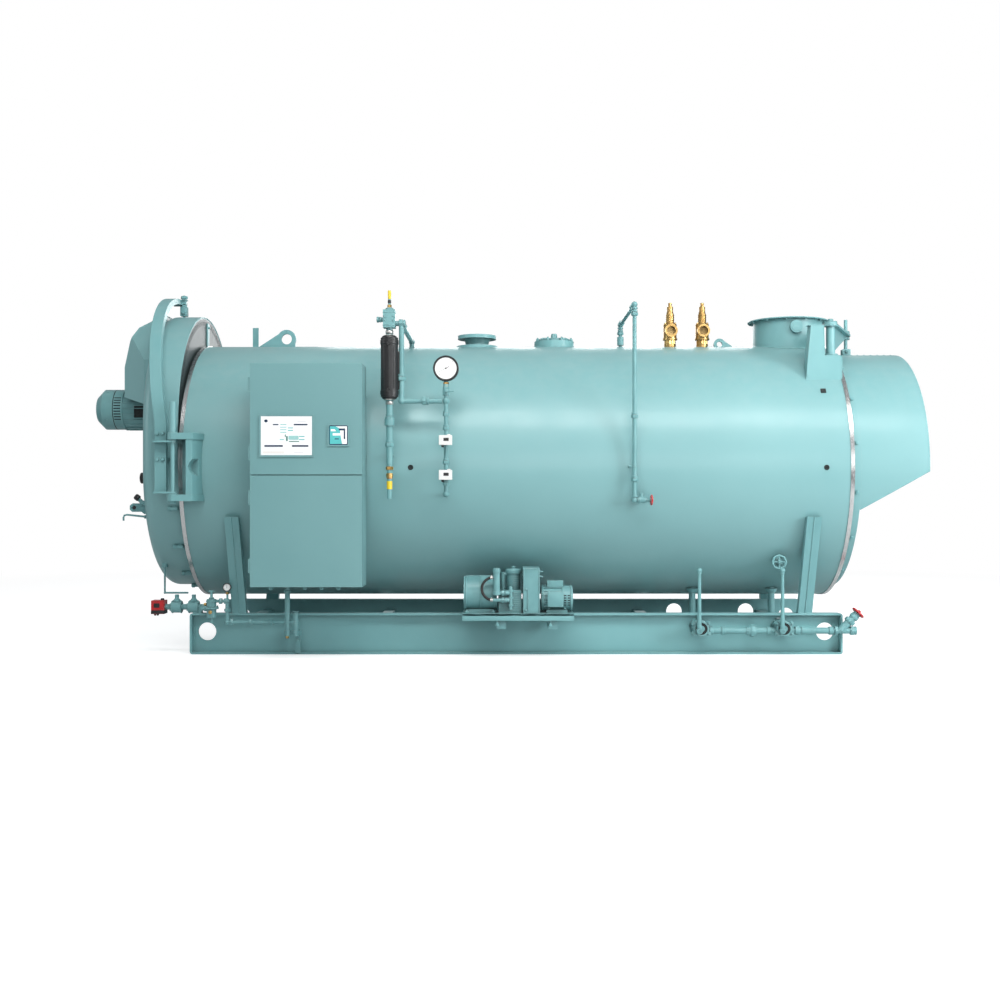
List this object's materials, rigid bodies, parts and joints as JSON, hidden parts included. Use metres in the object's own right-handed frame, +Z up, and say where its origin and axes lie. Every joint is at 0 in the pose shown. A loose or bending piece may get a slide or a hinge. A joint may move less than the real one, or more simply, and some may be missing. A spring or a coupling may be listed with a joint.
{
  "type": "industrial boiler",
  "caption": "Packaged horizontal firetube steam boiler on a skid, with burner head, control cabinet, gauges, valves, air compressor, hinged front head and davit-hung rear door.",
  "frame": {"origin": "centre of the skid's underside, on the floor, half way along the shell", "axes": "+X along the shell from the burner end to the stack end, -Y towards the control cabinet side, +Z up"},
  "size_m": [5.79, 2.0611, 2.549],
  "materials": {
    "teal_paint": "semi-gloss paint",
    "band_steel": "polished stainless",
    "valve_brass": "cast brass",
    "bare_steel": "bare rolled steel",
    "refractory": "cast refractory",
    "black_plastic": "black plastic",
    "black_rubber": "rubber",
    "gauge_white": "white dial behind a black bezel",
    "switch_white": "white switch cases",
    "red_handle": "red enamel",
    "actuator_red": "red and black case"
  },
  "bodies": {
    "boiler": {"shell_jacket": "teal_paint", "end_bands": "band_steel", "front_tube_sheet": "bare_steel", "rear_tube_sheet": "bare_steel", "furnace_tube": "bare_steel", "skid_rail_near": "teal_paint", "skid_rail_far": "teal_paint", "skid_cross_members": "teal_paint", "front_legs": "teal_paint", "rear_legs": "teal_paint", "stack_outlet": "teal_paint", "steam_nozzle": "teal_paint", "manway": "teal_paint", "lifting_lugs": "teal_paint", "safety_valve_front": "valve_brass", "safety_valve_rear": "valve_brass", "pressure_line": "teal_paint", "control_cabinet": "teal_paint", "column_pipe": "teal_paint", "level_sensor": "black_plastic", "column_head": "teal_paint", "gauge_line": "teal_paint", "pressure_gauge": "gauge_white", "switch_boxes": "switch_white", "compressor_base": "teal_paint", "air_tank": "teal_paint", "air_pump": "teal_paint", "belt_guard": "teal_paint", "compressor_motor": "teal_paint", "blowdown_pipe": "teal_paint", "quick_valve_front": "teal_paint", "quick_valve_rear": "teal_paint", "drain_valve": "teal_paint", "gas_actuator": "actuator_red", "gas_valves": "teal_paint", "gas_regulator": "teal_paint", "gas_branch_pipe": "teal_paint", "head_hinge": "teal_paint", "rear_davit_bracket": "teal_paint", "air_hose": "black_rubber"},
    "front_head": {"front_head": "teal_paint", "head_lining": "refractory", "inlet_screen": "teal_paint", "fan_hood": "teal_paint", "blower_motor": "teal_paint", "head_strap": "teal_paint", "head_controls": "black_plastic", "pilot_riser": "teal_paint"},
    "cabinet_upper_door": {"cabinet_upper_door": "teal_paint"},
    "cabinet_lower_door": {"cabinet_lower_door": "teal_paint"},
    "lever_front": {"blowdown_lever_front": "teal_paint"},
    "lever_rear": {"blowdown_lever_rear": "teal_paint"},
    "outlet_wheel": {"blowdown_handwheel": "red_handle"},
    "davit_arm": {"rear_davit_arm": "teal_paint"},
    "rear_door": {"rear_door": "teal_paint", "rear_hood": "teal_paint", "rear_hanger_rod": "teal_paint"}
  },
  "joints": [
    {"name": "head_swing", "type": "hinge", "parent": "boiler", "child": "front_head", "pos_m": [-2.243, -1, 1.267], "axis": [0, 0, 1], "range_deg": [0, 95]},
    {"name": "upper_door_hinge", "type": "hinge", "parent": "boiler", "child": "cabinet_upper_door", "pos_m": [-1.7163, -1.143, 1.57], "axis": [0, 0, 1], "range_deg": [-110, 0]},
    {"name": "lower_door_hinge", "type": "hinge", "parent": "boiler", "child": "cabinet_lower_door", "pos_m": [-1.7163, -1.143, 0.85], "axis": [0, 0, 1], "range_deg": [-110, 0]},
    {"name": "lever_front_turn", "type": "hinge", "parent": "boiler", "child": "lever_front", "pos_m": [1.228, -0.762, 0.173], "axis": [0, 1, 0], "range_deg": [-90, 0]},
    {"name": "lever_rear_turn", "type": "hinge", "parent": "boiler", "child": "lever_rear", "pos_m": [1.786, -0.762, 0.173], "axis": [0, 1, 0], "range_deg": [-90, 0]},
    {"name": "outlet_wheel_turn", "type": "hinge", "parent": "boiler", "child": "outlet_wheel", "pos_m": [2.31021, -0.7, 0.28921], "axis": [0.7071, 0, 0.7071], "range_deg": [0, 360]},
    {"name": "davit_swing", "type": "hinge", "parent": "boiler", "child": "davit_arm", "pos_m": [2.146, -0.62, 2.249], "axis": [0, 0, 1], "range_deg": [-70, 0]},
    {"name": "rear_door_swivel", "type": "hinge", "parent": "davit_arm", "child": "rear_door", "pos_m": [2.423, 0, 2.249], "axis": [0, 0, 1], "range_deg": [0, 70]}
  ],
  "couplings": [
    {"joint": "rear_door_swivel", "follows": "davit_swing", "ratio": -1}
  ]
}
